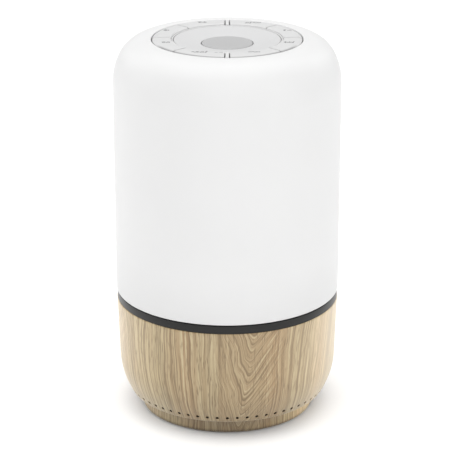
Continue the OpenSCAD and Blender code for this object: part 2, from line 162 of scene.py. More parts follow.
def carve(piece, cutter_mesh, crease=32):
    """Cuts the closed shapes of a bmesh out of a piece."""
    bmesh.ops.recalc_face_normals(cutter_mesh, faces=cutter_mesh.faces)
    data = bpy.data.meshes.new("cutter")
    cutter_mesh.to_mesh(data)
    cutter_mesh.free()
    cutter = bpy.data.objects.new("cutter", data)
    bpy.context.scene.collection.objects.link(cutter)
    cut = piece.modifiers.new("cut", "BOOLEAN")
    cut.operation = "DIFFERENCE"
    cut.solver = "EXACT"
    cut.object = cutter
    graph = bpy.context.evaluated_depsgraph_get()
    result = bpy.data.meshes.new_from_object(piece.evaluated_get(graph))
    piece.modifiers.clear()
    piece.data = result
    result.set_sharp_from_angle(angle=math.radians(crease))
    bpy.data.objects.remove(cutter)


def around(angles, radius):
    """Places on a circle, for angles in degrees from +X."""
    return [(radius * math.cos(math.radians(a)), radius * math.sin(math.radians(a))) for a in angles]


def bores(places, radius, low, high, mesh=None, steps=40):
    """Closed upright cylinders to cut with."""
    mesh = mesh or bmesh.new()
    for place in places:
        revolve([(0, low), (radius, low), (radius, high), (0, high)], steps, place, mesh)
    return mesh


def loft_loops(mesh, loops):
    """Skins closed loops of equal length; the first and the last loop get end faces."""
    rows = [[mesh.verts.new(p) for p in loop] for loop in loops]
    bridge(mesh, rows)
    mesh.faces.new(rows[0])
    mesh.faces.new(list(reversed(rows[-1])))


# ---- material helpers ----

class Graph:
    """Builds a node material with short calls. A socket or a number can go in anywhere."""

    def __init__(self, name):
        self.material = bpy.data.materials.new(name)
        self.material.use_nodes = True
        self.tree = self.material.node_tree
        self.shader = self.tree.nodes["Principled BSDF"]
        self.object = self.node("ShaderNodeTexCoord").outputs["Object"]

    def node(self, kind, **settings):
        made = self.tree.nodes.new(kind)
        for key, value in settings.items():
            setattr(made, key, value)
        return made

    def feed(self, socket, value):
        if isinstance(value, bpy.types.NodeSocket):
            self.tree.links.new(value, socket)
        else:
            socket.default_value = value

    def math(self, operation, a, b=0.0, clamp=False):
        made = self.node("ShaderNodeMath", operation=operation, use_clamp=clamp)
        self.feed(made.inputs[0], a)
        self.feed(made.inputs[1], b)
        return made.outputs[0]

    def plus(self, a, b):
        return self.math("ADD", a, b)

    def minus(self, a, b, clamp=False):
        return self.math("SUBTRACT", a, b, clamp)

    def times(self, a, b, clamp=False):
        return self.math("MULTIPLY", a, b, clamp)

    def over(self, value, level, gain):
        """0 up to a level, then rising to 1."""
        return self.times(self.minus(value, level, True), gain, True)

    def length(self, a, b):
        return self.math("SQRT", self.plus(self.times(a, a), self.times(b, b)))

    def bell(self, value, power):
        """1 where the value is 0, falling to 0 on both sides."""
        fall = self.math("POWER", self.math("ABSOLUTE", value), power)
        return self.math("POWER", math.e, self.times(fall, -1.0))

    def place(self):
        """The x, y and z of the shaded point."""
        made = self.node("ShaderNodeSeparateXYZ")
        self.feed(made.inputs[0], self.object)
        return made.outputs

    def join(self, x, y, z):
        made = self.node("ShaderNodeCombineXYZ")
        for socket, value in zip(made.inputs, (x, y, z)):
            self.feed(socket, value)
        return made.outputs[0]

    def noise(self, vector, scale, detail=2.0, roughness=0.5):
        made = self.node("ShaderNodeTexNoise")
        self.feed(made.inputs["Vector"], vector)
        made.inputs["Scale"].default_value = scale
        made.inputs["Detail"].default_value = detail
        made.inputs["Roughness"].default_value = roughness
        return made.outputs["Fac"]

    def stretch(self, vector, scale):
        made = self.node("ShaderNodeMapping")
        self.feed(made.inputs["Vector"], vector)
        made.inputs["Scale"].default_value = scale
        return made.outputs[0]

    def ramp(self, value, stops):
        made = self.node("ShaderNodeValToRGB")
        self.feed(made.inputs[0], value)
        elements = made.color_ramp.elements
        while len(elements) < len(stops):
            elements.new(0.5)
        for element, (position, colour) in zip(elements, stops):
            element.position = position
            element.color = (*colour, 1.0)
        return made.outputs[0]

    def spread(self, value, low, high):
        """Maps 0..1 onto low..high."""
        made = self.node("ShaderNodeMapRange")
        self.feed(made.inputs["Value"], value)
        made.inputs["To Min"].default_value = low
        made.inputs["To Max"].default_value = high
        return made.outputs[0]

    def mix(self, factor, a, b, blend="MIX"):
        made = self.node("ShaderNodeMix", data_type="RGBA", blend_type=blend)
        self.feed(made.inputs[0], factor)
        for socket, value in ((made.inputs[6], a), (made.inputs[7], b)):
            self.feed(socket, (*value, 1.0) if isinstance(value, tuple) and len(value) == 3 else value)
        return made.outputs[2]

    def bump(self, height, distance, strength=1.0):
        made = self.node("ShaderNodeBump")
        self.feed(made.inputs["Height"], height)
        made.inputs["Distance"].default_value = distance
        made.inputs["Strength"].default_value = strength
        self.tree.links.new(made.outputs[0], self.shader.inputs["Normal"])

    def set(self, **values):
        for key, value in values.items():
            self.feed(self.shader.inputs[key.replace("_", " ")], value)


def tint(colour, factor):
    return tuple(min(1.0, channel * factor) for channel in colour)


def skin_noises(g, grain):
    """A fine speckle, a broad drift, and the two together."""
    fine = g.noise(g.object, grain, 3.0, 0.6)
    broad = g.noise(g.object, 60, 4.0, 0.55)
    return fine, broad, g.plus(g.times(fine, 0.5), g.times(broad, 0.5))


def moulded(name, colour, roughness=0.45, grain=2600, depth=0.00002, vary=0.04, metallic=0.0, gloss=0.5):
    """Moulded plastic, rubber or metal with a fine skin: speckle, roughness drift and bump."""
    g = Graph(name)
    fine, broad, both = skin_noises(g, grain)
    g.set(Base_Color=g.ramp(both, [(0.3, tint(colour, 1 - vary)), (0.7, tint(colour, 1 + vary))]),
          Roughness=g.spread(broad, roughness - 0.04, roughness + 0.05), Metallic=metallic)
    g.set(Specular_IOR_Level=gloss)
    g.bump(fine, depth, 0.6)
    return g.material


def key_plastic():
    """Satin key plastic, darker low on the front keys' outer shoulder, where the seam shades it."""
    g = Graph("key_white")
    fine, broad, both = skin_noises(g, 2600)
    white = g.ramp(both, [(0.3, (0.503, 0.503, 0.503)), (0.7, (0.515, 0.515, 0.515))])
    seam_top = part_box("key_1")[1].z - 0.22 * MM
    shoulder_from = 26.5 * MM
    front_from = 12.5 * MM
    x, y, z = g.place()
    low = g.over(g.minus(seam_top, z), 0.0, 3300.0)
    outside = g.over(g.length(x, y), shoulder_from, 1000.0)
    in_front = g.over(g.times(y, -1.0), front_from, 190.0)
    shade = g.times(g.times(low, outside), g.times(in_front, 0.64))
    g.set(Base_Color=g.mix(shade, white, (0.10, 0.10, 0.10)), Roughness=g.spread(broad, 0.30, 0.39))
    g.bump(fine, 0.000008, 0.6)
    return g.material


def diffuser_white():
    """Translucent satin plastic: a trace of light carried through the wall, and painted shade that darkens
    it near its two ends.
    """
    g = Graph("diffuser_white")
    fine = g.noise(g.object, 3200, 2.0, 0.6)
    broad = g.noise(g.object, 26, 3.0, 0.5)
    z = g.place()[2]
    # painted shade: 5.5 % darker towards the foot and 4.5 % towards the top
    near_foot = g.over(g.minus(85 * MM, z), 0.0, 45.0)
    near_top = g.over(z, 165 * MM, 45.0)
    painted_tone = g.minus(1.0, g.plus(g.times(near_foot, 0.055), g.times(near_top, 0.045)))
    white = g.ramp(broad, [(0.3, (0.620, 0.620, 0.620)), (0.7, (0.630, 0.630, 0.629))])
    g.set(Base_Color=g.mix(1.0, white, painted_tone, "MULTIPLY"),
          Roughness=g.spread(broad, 0.42, 0.46), Specular_IOR_Level=0.36)
    g.set(Subsurface_Weight=0.12, Subsurface_Scale=0.002)
    g.shader.inputs["Subsurface Radius"].default_value = (1.0, 1.0, 0.95)
    g.bump(fine, 0.000006, 0.5)
    return g.material


WRAP = 54 * MM  # radius that the wood print is laid out on
FIGURES = 4  # arched figures round the base
FIGURE_AT = 6.2 * MM  # along the wrap, from the front to the nearest figure
RING_PITCH = 6.6 * MM  # between the dark lines of a figure
# soft upright stripes: place along the wrap from the front, half width, in millimetres
WARM_STRIPES = ((-20.5, 3.8), (25.5, 5.0), (-85, 5.0), (110, 4.5))
COOL_STRIPES = ((-33, 6.0), (-6, 2.8), (-104, 6.0), (90, 6.0))


def wood_lines(g):
    """Noise along the upright fibres and round the arched figures, with where the figures lie."""
    x, y, z = g.place()
    radius = g.length(x, y)
    side = g.times(g.math("DIVIDE", x, radius), WRAP)
    depth = g.times(g.math("DIVIDE", y, radius), WRAP)
    skin = g.join(side, depth, z)

    # the fibres wander, and fan out towards the sides
    lean = g.times(g.plus(g.times(g.math("MAXIMUM", side, 0.0), 65.0), 24.0), -1.0)
    fan = g.times(g.times(z, side), lean)
    turn = g.plus(g.spread(g.noise(g.stretch(skin, (26, 26, 20)), 1.0, 2.0), -0.085, 0.085), fan)
    bent = g.join(g.minus(side, g.times(turn, depth)), g.plus(depth, g.times(turn, side)), z)
    along = g.times(g.plus(g.math("ARCTAN2", side, g.times(depth, -1.0)), g.times(turn, 0.35)), WRAP)

    # the figures: nested arches that stand on their round tips, steeper on their left
    wobble = g.noise(g.stretch(skin, (105, 105, 80)), 1.0, 2.0, 0.5)
    gap = 2 * math.pi * WRAP / FIGURES
    off = g.math("FRACT", g.plus(g.math("DIVIDE", g.minus(along, FIGURE_AT), gap), 0.5))
    off = g.plus(g.times(g.minus(off, 0.5), gap), g.spread(wobble, -1.6 * MM, 1.6 * MM))
    off = g.minus(off, g.times(z, 0.10))
    lift = g.minus(g.length(g.times(off, 2.25), 3.4 * MM), g.times(off, 0.52))
    arch = g.minus(lift, g.plus(z, g.spread(wobble, -2.1 * MM, 2.1 * MM)))
    figure = g.bell(g.math("DIVIDE", off, 13.5 * MM), 2.6)
    flow = g.join(arch, g.times(along, 0.12), 0.0)

    def across(upright, arched):
        return g.plus(upright, g.times(figure, g.minus(arched, upright)))

    uneven = g.node("ShaderNodeTexNoise", noise_dimensions="1D")
    g.feed(uneven.inputs["W"], g.times(arch, 150.0))
    uneven.inputs["Scale"].default_value = 1.0
    phase = g.plus(g.math("DIVIDE", arch, RING_PITCH), g.spread(uneven.outputs["Fac"], -1.0, 1.0))
    return {
        "place": (z, radius, depth), "along": along, "figure": figure,
        "rings": g.math("POWER", g.math("FRACT", phase), 5.0),
        "warm": g.noise(g.stretch(bent, (120, 120, 7)), 1.0, 1.0, 0.5),
        "zones": g.noise(g.stretch(bent, (85, 85, 5)), 1.0, 2.0, 0.55),
        "streaks": across(g.noise(g.stretch(bent, (480, 480, 7)), 1.0, 2.0, 0.6),
                          g.spread(g.noise(g.stretch(flow, (200, 200, 1)), 1.0, 1.0, 0.5), 0.30, 0.76)),
        "grain": across(g.noise(g.stretch(bent, (1150, 1150, 12)), 1.0, 2.0, 0.65),
                        g.noise(g.stretch(flow, (600, 600, 1)), 1.0, 2.0, 0.6)),
        "fibres": g.noise(g.stretch(bent, (2300, 2300, 60)), 1.0, 2.0, 0.6),
        "pores": g.noise(g.stretch(bent, (1900, 1900, 170)), 1.0, 1.0, 0.5),
        "smudges": g.noise(g.stretch(bent, (260, 260, 75)), 1.0, 2.0, 0.6)}


def oak_print(name, shade, front, rise, bowl=None):
    """Printed light oak round the base, with painted light and shade: darker at the front and back, brighter
    at the sides, a painted highlight on the right. Given the centre of the bowl's arc, it also paints shade
    low on the bowl and in the hole walls; else a painted shadow along the foot's bottom edge.
    """
    g = Graph(name)
    wood = wood_lines(g)
    z, radius, depth = wood["place"]

    def stripe(place, width):
        """A soft upright stripe at a place along the wrap: 1 in its middle, 0 outside."""
        return g.bell(g.math("DIVIDE", g.minus(wood["along"], place), width), 2.0)

    light = tint((0.405, 0.316, 0.174), shade)
    middle = tint((0.316, 0.226, 0.110), shade)
    dark = tint((0.155, 0.096, 0.038), shade)
    tan = tint((0.310, 0.188, 0.082), shade)
    cool = tint((0.244, 0.186, 0.092), shade)
    pale = tint((0.470, 0.380, 0.222), shade)
    colour = g.ramp(wood["streaks"], [(0.38, middle), (0.57, light)])
    colour = g.mix(g.over(wood["zones"], 0.44, 2.2), colour, light)
    colour = g.mix(g.times(g.over(wood["warm"], 0.50, 3.2), 0.7), colour, tan)
    for place, width in WARM_STRIPES:
        colour = g.mix(g.times(stripe(place * MM, width * MM), 0.72), colour, tan)
    smudges = g.over(wood["smudges"], 0.40, 4.0)
    for place, width in COOL_STRIPES:
        colour = g.mix(g.times(g.times(stripe(place * MM, width * MM), smudges), 0.75), colour, cool)
    colour = g.mix(g.times(wood["figure"], 0.46), colour, tan)
    colour = g.mix(g.times(g.times(wood["rings"], wood["figure"]), 0.46), colour, dark)
    colour = g.mix(g.times(g.over(g.minus(1.0, wood["grain"]), 0.49, 8.0), 0.76), colour, dark)
    colour = g.mix(g.times(g.over(wood["grain"], 0.52, 7.0), 0.95), colour, pale)
    colour = g.mix(g.times(g.over(wood["fibres"], 0.54, 4.0), 0.6), colour, middle)
    pits = g.over(g.minus(1.0, wood["pores"]), 0.56, 6.0)
    colour = g.mix(g.times(pits, 0.75), colour, dark)

    # painted light: the print is darker at the front and back and brighter towards the sides; front and rise
    # set how much
    facing = g.math("POWER", g.math("DIVIDE", depth, WRAP), 2.0)
    painted_tone = g.plus(front, g.times(g.minus(1.0, facing), rise))
    if bowl:
        # painted shade: darker towards the bottom of the bowl, more at the sides than at the front
        low = g.over(g.minus(30 * MM, z), 0.0, 47.0)
        painted_tone = g.minus(painted_tone, g.times(low, g.minus(0.40, g.times(facing, 0.24))))
        # painted highlight: the right side of the bowl is painted paler and brighter
        colour = g.mix(g.times(stripe(60 * MM, 20 * MM), 0.34), colour, (0.50, 0.42, 0.31))
        painted_tone = g.plus(painted_tone, g.times(stripe(53 * MM, 10 * MM), 0.24))
    else:
        # painted light: the foot's right side is painted brighter
        painted_tone = g.plus(painted_tone, g.times(stripe(62 * MM, 20 * MM), 0.86))
        # painted shadow: darker along the foot's bottom edge, where it meets the floor
        painted_contact_shadow = g.over(g.minus(2.5 * MM, z), 0.0, 800.0)
        painted_tone = g.times(painted_tone, g.minus(1.0, g.times(painted_contact_shadow, 0.48)))
    colour = g.mix(1.0, colour, painted_tone, "MULTIPLY")
    # painted shade: the walls of the sound holes are painted near-black
    if bowl:
        level = g.math("MINIMUM", g.minus(z, bowl[1]), 0.0)
        from_centre = g.length(g.minus(radius, bowl[0]), level)
        painted_hole_shade = g.over(g.minus(BOWL_R - 0.12 * MM, from_centre), 0.0, 9000.0)
        colour = g.mix(painted_hole_shade, colour, (0.020, 0.014, 0.009))
    g.set(Base_Color=colour, Roughness=g.spread(wood["streaks"], 0.34, 0.50), Coat_Weight=0.5,
          Coat_Roughness=0.28)
    g.set(Sheen_Weight=0.38, Sheen_Roughness=0.40, Sheen_Tint=(1.0, 0.88, 0.66, 1.0))
    g.bump(g.minus(wood["fibres"], g.times(pits, 0.8)), 0.00003, 0.5)
    return g.material


BOWL_R = 37.4 * MM  # radius of the base's round side


def bowl_arc():
    """The base's round side: its centre's radius and height, and the angle at which it starts."""
    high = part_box("base_shell")[1]
    waist_r, waist_z = high.x - 1 * MM, 27.5 * MM
    start = math.atan((high.x - waist_r) / (high.z - waist_z))
    return waist_r - BOWL_R * math.cos(start), waist_z + BOWL_R * math.sin(start), start


BOWL_CENTRE_R, BOWL_CENTRE_Z, BOWL_START = bowl_arc()
WHITE = diffuser_white()
# front and rise are painted light: the print's tone at the front and back, and how much brighter it is
# painted towards the sides; the foot's copy is painted much darker at its front, in the bowl's shade
OAK = oak_print("oak_print", 1.0, 0.88, 0.34, (BOWL_CENTRE_R, BOWL_CENTRE_Z))
OAK_FOOT = oak_print("oak_print_foot", 0.96, 0.62, 0.75)
BAND = moulded("dark_band", (0.007, 0.007, 0.006), 0.34, 3000, 0.000006, gloss=0.32)
KEY_WHITE = key_plastic()
PANEL_WHITE = moulded("panel_white", (0.490, 0.490, 0.492), 0.40, 2400, 0.00001, 0.012)
BUTTON_GREY = moulded("button_grey", (0.350, 0.350, 0.352), 0.42, 2200, 0.00002, 0.03)
LEGEND_GREY = moulded("legend_grey", (0.150, 0.150, 0.154), 0.55, 3000, 0.000004, 0.03)
LEGEND_PALE = moulded("legend_pale", (0.330, 0.330, 0.334), 0.55, 3000, 0.000004, 0.03)
DARK_PLASTIC = moulded("dark_plastic", (0.035, 0.035, 0.037), 0.50, 1500, 0.00004, 0.10)
RUBBER = moulded("rubber", (0.020, 0.020, 0.020), 0.72, 900, 0.00008, 0.20)
WHITE_PLASTIC = moulded("white_plastic", (0.560, 0.560, 0.557), 0.42, 2400, 0.00001, 0.015)
STEEL = moulded("plated_steel", (0.600, 0.605, 0.620), 0.30, 1800, 0.00001, 0.05, 1.0)
BOARD = moulded("green_board", (0.030, 0.150, 0.060), 0.38, 1400, 0.00002, 0.15)
WHITE_BOARD = moulded("white_board", (0.800, 0.800, 0.770), 0.40, 1400, 0.00002, 0.03)
BLACK_PLASTIC = moulded("black_plastic", (0.022, 0.022, 0.024), 0.42, 1500, 0.00002, 0.10)
LED_YELLOW = moulded("led_phosphor", (0.900, 0.780, 0.360), 0.30, 2000, 0.00001, 0.05)
FERRITE = moulded("ferrite", (0.050, 0.050, 0.053), 0.60, 1100, 0.00006, 0.20)
BRASS = moulded("brass", (0.550, 0.400, 0.180), 0.32, 1800, 0.00001, 0.06, 1.0)
CAN = moulded("capacitor_can", (0.120, 0.160, 0.280), 0.35, 1500, 0.00002, 0.08)
CONNECTOR = moulded("connector_plastic", (0.800, 0.760, 0.660), 0.45, 1800, 0.00002, 0.04)
BASKET = moulded("painted_basket", (0.035, 0.036, 0.040), 0.40, 900, 0.00004, 0.15)
SPIDER = moulded("spider_cloth", (0.420, 0.230, 0.090), 0.85, 700, 0.00020, 0.20)
RIBBON = moulded("ribbon", (0.700, 0.700, 0.680), 0.40, 1800, 0.00001, 0.03)
WIRE = moulded("wire_sleeve", (0.480, 0.050, 0.035), 0.40, 1800, 0.00001, 0.06)
PAPER = moulded("cone_paper", (0.028, 0.028, 0.030), 0.90, 500, 0.00020, 0.30)
COPPER = moulded("copper_wire", (0.550, 0.230, 0.090), 0.35, 2600, 0.00004, 0.12, 1.0)
SWITCH_TAN = moulded("plunger_plastic", (0.420, 0.390, 0.330), 0.45, 1800, 0.00002, 0.06)

SLOT_MATERIALS = {
    "diffuser": WHITE, "dark_band": BAND, "wood_print": OAK, "wood_print_foot": OAK_FOOT,
    "dark_plastic": DARK_PLASTIC, "rubber_pad": RUBBER, "screw_steel": STEEL, "white_board": WHITE_BOARD,
    "green_board": BOARD, "led": LED_YELLOW, "white_plastic": WHITE_PLASTIC, "panel_white": PANEL_WHITE,
    "key_white": KEY_WHITE, "button_grey": BUTTON_GREY, "plunger_plastic": SWITCH_TAN,
    "black_plastic": BLACK_PLASTIC, "plated_steel": STEEL, "capacitor_can": CAN,
    "connector_plastic": CONNECTOR, "painted_basket": BASKET, "ferrite": FERRITE, "brass_tag": BRASS,
    "spider_cloth": SPIDER, "ribbon": RIBBON, "wire_sleeve": WIRE, "cone_paper": PAPER,
    "copper_wire": COPPER,
}
for row in frame["record"]["subparts"]:
    part = NODES[row["node"]]
    part.data.materials.clear()
    part.data.materials.append(SLOT_MATERIALS[row["material_slot"]])


# ---- light dome ----

def make_dome():
    low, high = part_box("diffuser_shell")
    radius, foot, rim = -low.x, low.z, high.z
    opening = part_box("key_1")[1].x + 0.35 * MM
    bend, big, small = 27.4, 29.7 * MM, 14.2 * MM
    brow = (radius - big + (big - small) * math.cos(math.radians(bend)), rim - small)
    shoulder = (radius - big, brow[1] - (big - small) * math.sin(math.radians(bend)))
    lip, lip_r = rim - 5 * MM, 41 * MM
    outline = [(radius - 0.4 * MM, foot), (radius - 0.1 * MM, foot + 0.1 * MM), (radius, foot + 0.4 * MM)]
    outline += [(radius, foot + (shoulder[1] - foot) * i / 24) for i in range(1, 24)]
    outline += arc(shoulder, big, 0, bend, 24)
    outline += arc(brow, small, bend, 90, 24)[1:]
    outline += arc((opening + 0.7 * MM, rim - 0.7 * MM), 0.7 * MM, 90, 180, 8)
    outline += [(opening, lip), (lip_r, lip)]
    lip_angle = math.degrees(math.acos((lip_r - brow[0]) / (small - WALL)))
    outline += arc(brow, small - WALL, lip_angle, bend, 12)
    outline += arc(shoulder, big - WALL, bend, 0, 12)[1:]
    outline += [(radius - WALL, foot)]
    return finish_piece("diffuser", revolve(outline, FINE_SEGMENTS), WHITE, "housing",
                        ["diffuser_shell"], 40)


def make_band():
    low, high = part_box("trim_ring")
    foot, outer = low.z, high.x
    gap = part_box("diffuser_shell")[0].z
    collar = gap - 0.6 * MM
    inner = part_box("diffuser_shell")[1].x - WALL - 0.4 * MM
    outline = rounded([
        (outer, foot, 0.25 * MM), (outer, collar, 0.35 * MM), (outer - 1 * MM, collar, 0),
        (outer - 1 * MM, gap, 0), (inner, gap, 0), (inner, high.z, 0.2 * MM),
        (inner - 1.6 * MM, high.z, 0.2 * MM), (inner - 1.6 * MM, foot, 0)], 4)
    return finish_piece("trim_band", revolve(outline, FINE_SEGMENTS), BAND, "housing",
                        ["trim_ring"])


# ---- wood-print base with its row of sound holes ----

HOLES = 64
COLUMNS = 6  # mesh columns to each side of a hole's cell
HOLE_ANGLE = math.radians(27.5)  # of the hole row, below the centre of the bowl's arc
HOLE_R = 0.8 * MM
HALF_CELL = 1.75 * MM / BOWL_R  # half the height of a hole's cell, as an angle of the arc
HOLE_RING = BOWL_CENTRE_R + BOWL_R * math.cos(HOLE_ANGLE)


def on_bowl(turn, drop, depth):
    """The point at angle drop down the arc, turn round the axis, depth inside the skin."""
    r = BOWL_CENTRE_R + (BOWL_R - depth) * math.cos(drop)
    return (r * math.cos(turn), r * math.sin(turn), BOWL_CENTRE_Z - (BOWL_R - depth) * math.sin(drop))


def ring_of(r, z):
    """A level ring with a point at each column of each hole's cell."""
    points = []
    for k in range(HOLES * COLUMNS):
        a = 2 * math.pi * k / (HOLES * COLUMNS) + math.radians(-90 - 180 / HOLES)
        points.append((r * math.cos(a), r * math.sin(a), z))
    return points


def bowl_rows(first, last, steps, depth):
    """Level rings down the arc, from angle first to angle last."""
    rows = []
    for i in range(steps + 1):
        drop = first + (last - first) * i / steps
        rows.append(ring_of(BOWL_CENTRE_R + (BOWL_R - depth) * math.cos(drop),
                            BOWL_CENTRE_Z - (BOWL_R - depth) * math.sin(drop)))
    return rows


def cell_ring(turn, size, blend, depth):
    """A closed loop between a hole's edge (blend 0) and the border of its cell (blend 1)."""
    points = []
    for first_x, first_y, step_x, step_y in ((-1, -1, 2, 0), (1, -1, 0, 2), (1, 1, -2, 0), (-1, 1, 0, -2)):
        for k in range(COLUMNS):
            px = (first_x + step_x * k / COLUMNS) * math.pi / HOLES * HOLE_RING
            py = (first_y + step_y * k / COLUMNS) * HALF_CELL * BOWL_R
            a = math.atan2(py, px)
            u = size * math.cos(a) * (1 - blend) + px * blend
            v = size * math.sin(a) * (1 - blend) + py * blend
            points.append(on_bowl(turn + u / HOLE_RING, HOLE_ANGLE + v / BOWL_R, depth))
    return points


def make_base():
    low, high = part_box("base_shell")
    rim, foot, top_r = high.z, low.z, high.x
    waist_r = BOWL_CENTRE_R + BOWL_R * math.cos(BOWL_START)
    waist_z = BOWL_CENTRE_Z - BOWL_R * math.sin(BOWL_START)
    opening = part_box("plinth_ring")[1].x - 1.8 * MM
    over, under = HOLE_ANGLE - HALF_CELL, HOLE_ANGLE + HALF_CELL
    mesh = bmesh.new()

    def loft(rows):
        bridge(mesh, [[mesh.verts.new(p) for p in row] for row in rows])

    # both skins above the holes, and the rim
    edge = 0.35 * MM
    side_steps, bowl_steps = 30, 26
    outside = [ring_of(top_r - edge, rim), ring_of(top_r - 0.1 * MM, rim - 0.1 * MM)]
    outside.append(ring_of(top_r, rim - edge))
    for i in range(1, side_steps):
        t = i / side_steps
        outside.append(ring_of(top_r + (waist_r - top_r) * t, rim - edge + (waist_z - rim + edge) * t))
    outside += bowl_rows(BOWL_START, over, bowl_steps, 0)
    inside = [ring_of(top_r - WALL, rim)] + bowl_rows(BOWL_START, over, bowl_steps, WALL)
    loft(outside)
    loft(inside)
    loft([outside[0], inside[0]])

    # both skins below the holes, and the floor
    end_out = math.asin((BOWL_CENTRE_Z - foot) / BOWL_R)
    end_in = math.asin((BOWL_CENTRE_Z - foot - WALL) / (BOWL_R - WALL))
    last_r = BOWL_CENTRE_R + BOWL_R * math.cos(end_out)
    foot_out = bowl_rows(under, end_out - 0.012, 5, 0)
    foot_out += [ring_of(last_r - 0.12 * MM, foot + 0.12 * MM), ring_of(last_r - 0.5 * MM, foot)]
    foot_out += [ring_of(last_r - 3 * MM, foot), ring_of(opening, foot)]
    foot_in = bowl_rows(under, end_in, 2, WALL)
    foot_in.append(ring_of(opening, foot + WALL))
    loft(foot_out)
    loft(foot_in)
    loft([foot_out[-1], foot_in[-1]])

    # the cells: outer skin, a small chamfer, the bore, inner skin
    for i in range(HOLES):
        turn = math.radians(-90 + 360 * i / HOLES)
        loft([cell_ring(turn, HOLE_R, 1.0, 0), cell_ring(turn, HOLE_R, 0.62, 0),
              cell_ring(turn, HOLE_R, 0.3, 0), cell_ring(turn, HOLE_R + 0.12 * MM, 0, 0),
              cell_ring(turn, HOLE_R + 0.03 * MM, 0, 0.06 * MM), cell_ring(turn, HOLE_R, 0, 0.2 * MM),
              cell_ring(turn, HOLE_R, 0, WALL), cell_ring(turn, HOLE_R, 0.5, WALL),
              cell_ring(turn, HOLE_R, 1.0, WALL)])
    piece = finish_piece("base", mesh, OAK, "housing", ["base_shell"], 42)
    cut_inlet(piece)
    return piece


def rounded_rectangle(width, height, radius, steps=6):
    corners = []
    for sx, sy, first in ((1, 1, 0), (-1, 1, 90), (-1, -1, 180), (1, -1, 270)):
        centre = (sx * (width / 2 - radius), sy * (height / 2 - radius))
        corners += arc(centre, radius, first, first + 90, steps)
    return corners


def inlet_loop(width, height, radius, y):
    """A rounded rectangle across the inlet's axis at depth y."""
    low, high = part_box("inlet_bezel")
    middle = (low.z + high.z) / 2
    return [(x, y, middle + z) for x, z in rounded_rectangle(width, height, radius)]


def cut_inlet(piece):
    """Opens the back wall for the inlet bezel."""
    low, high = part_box("inlet_bezel")
    width, height = high.x - low.x + 0.2 * MM, high.z - low.z + 0.2 * MM
    mesh = bmesh.new()
    loft_loops(mesh, [inlet_loop(width, height, 3.1 * MM, low.y - 8 * MM),
                      inlet_loop(width, height, 3.1 * MM, high.y + 8 * MM)])
    carve(piece, mesh, 42)


def make_plinth():
    low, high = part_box("plinth_ring")
    foot, lip, outer = low.z, high.z, high.x
    shelf = lip - 2.9 * MM
    ledge = foot + 3 * MM
    outline = rounded([
        (outer, foot, 0.5 * MM), (outer, shelf, 0.25 * MM), (outer - 2 * MM, shelf, 0),
        (outer - 2 * MM, lip, 0.2 * MM), (outer - 3.6 * MM, lip, 0.2 * MM),
        (outer - 3.6 * MM, ledge + 1.6 * MM, 0),
        (outer - 6.1 * MM, ledge + 1.6 * MM, 0.2 * MM), (outer - 6.1 * MM, ledge, 0),
        (outer - 4.1 * MM, ledge, 0), (outer - 4.1 * MM, foot, 0.3 * MM)], 5)
    return finish_piece("plinth", revolve(outline, FINE_SEGMENTS), OAK_FOOT, "housing",
                        ["plinth_ring"])


# ---- key panel ----

KEY_STEP = 45
LEGEND_RAISE = 0.05 * MM
RIB_HALF = 0.85 * MM  # half the width of the two ribs between the keys


def make_key(index):
    node = f"key_{index + 1}"
    low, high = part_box(node)
    top = high.z - LEGEND_RAISE
    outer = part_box("key_1")[1].x
    inner = outer - 9.2 * MM
    edge = outer - 0.1 * MM
    floor = low.z + 2.6 * MM
    profile = rounded([
        (inner, floor, 0), (edge, floor, 0), (edge, top - 0.7 * MM, 0.5 * MM),
        (edge - 1.7 * MM, top, 2.0 * MM), (inner + 0.6 * MM, top, 0.7 * MM),
        (inner, top - 0.5 * MM, 0.5 * MM)], 6)
    profile = split_long(profile, 1.4 * MM)
    gaps = []
    for boundary in (index, index + 1):
        gaps.append(RIB_HALF + 0.55 * MM if boundary % 4 == 2 else 0.25 * MM)
    steps = 30
    mesh = bmesh.new()
    rows = []
    for k in range(steps + 1):
        row = []
        for r, z in profile:
            first = math.radians(KEY_STEP * index) + math.asin(gaps[0] / r)
            last = math.radians(KEY_STEP * (index + 1)) - math.asin(gaps[1] / r)
            a = first + (last - first) * k / steps
            row.append(mesh.verts.new((r * math.cos(a), r * math.sin(a), z)))
        rows.append(row)
    for a, b in zip(rows, rows[1:]):
        for i in range(len(profile)):
            j = (i + 1) % len(profile)
            mesh.faces.new((a[i], b[i], b[j], a[j]))
    ends = [mesh.faces.new(rows[0]), mesh.faces.new(list(reversed(rows[-1])))]
    rims = [e for end in ends for e in end.edges]
    bmesh.ops.bevel(mesh, geom=rims, offset=0.22 * MM, segments=3, profile=0.5, affect="EDGES")
    return finish_piece(f"keycap_{index + 1}", mesh, KEY_WHITE, f"key_{index + 1}",
                        [node], 38)


def make_disc():
    low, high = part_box("panel_disc")
    outer, top, foot = high.x, high.z, low.z
    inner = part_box("centre_button")[1].x + 0.35 * MM
    dip = top - 2 * MM
    outline = rounded([
        (inner, foot, 0), (inner + 1.4 * MM, foot, 0), (inner + 1.4 * MM, dip - 1.2 * MM, 0),
        (outer - 1.4 * MM, top - 1.4 * MM, 0), (outer - 1.4 * MM, foot, 0), (outer, foot, 0),
        (outer, top, 0.5 * MM), (inner, dip, 0.35 * MM)], 5)
    outline = split_long(outline, 1.5 * MM)
    return finish_piece("panel_dish", revolve(outline), PANEL_WHITE, "housing",
                        ["panel_disc"], 38)


def make_button():
    low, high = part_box("centre_button")
    radius, top = high.x, high.z
    foot = low.z + 0.6 * MM
    crown = 0.25 * MM
    outline = [(0, foot), (radius - 0.2 * MM, foot), (radius, foot + 0.2 * MM)]
    outline += arc((radius - 0.6 * MM, top - crown - 0.6 * MM), 0.6 * MM, 0, 84, 8)
    rise = [(radius - 0.6 * MM) * (1 - i / 14) for i in range(1, 15)]
    outline += [(r, top - crown * (r / radius) ** 2) for r in rise]
    return finish_piece("centre_cap", revolve(outline, 200), BUTTON_GREY, "centre_button",
                        ["centre_button"], 42)


